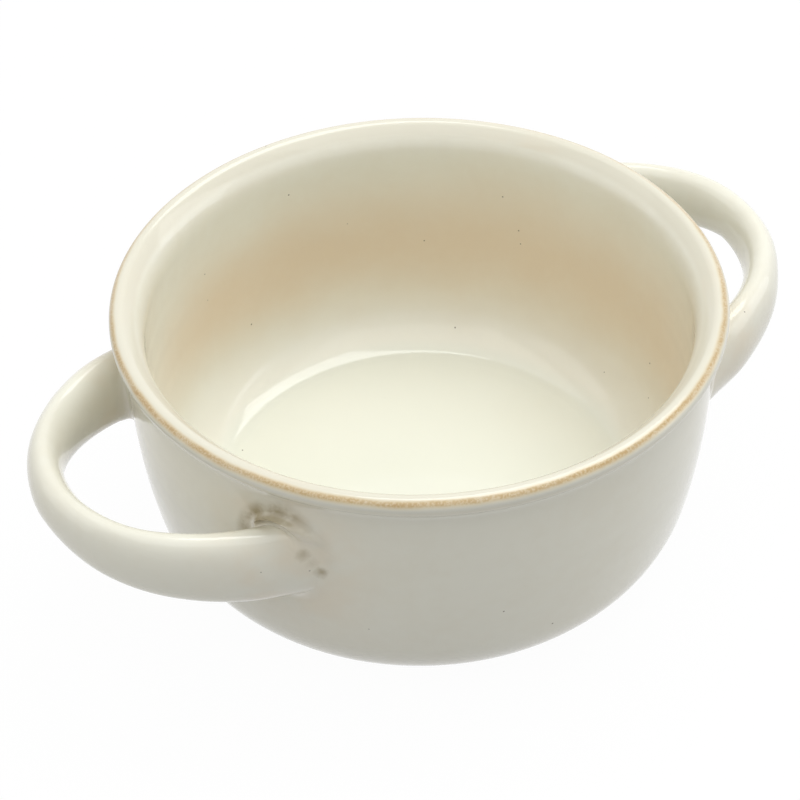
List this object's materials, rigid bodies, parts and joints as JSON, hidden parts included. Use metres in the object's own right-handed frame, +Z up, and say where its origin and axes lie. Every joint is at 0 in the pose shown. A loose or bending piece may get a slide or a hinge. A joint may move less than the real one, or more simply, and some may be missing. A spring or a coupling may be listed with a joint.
{
  "type": "onion soup crock",
  "caption": "Glazed stoneware soup crock with a rounded bowl, a rolled brown-edged lip, a trimmed foot ring and D-shaped loop handles luted on under the rim.",
  "frame": {"origin": "centre of the foot ring, on the surface that the crock stands on", "axes": "+X towards the right handle, +Y to the back, +Z up out of the bowl"},
  "size_m": [0.1928, 0.14, 0.07],
  "materials": {
    "bowl_glaze": "glossy cream glaze breaking ochre brown on the lip",
    "handle_glaze": "glossy cream glaze",
    "joint_glaze": "glossy cream glaze pooled and stained brown in the crease"
  },
  "bodies": {
    "root": {"bowl": "bowl_glaze", "left_handle": "handle_glaze", "right_handle": "handle_glaze", "left_front_joint_fillet": "joint_glaze", "left_back_joint_fillet": "joint_glaze", "right_front_joint_fillet": "joint_glaze", "right_back_joint_fillet": "joint_glaze"}
  },
  "joints": []
}
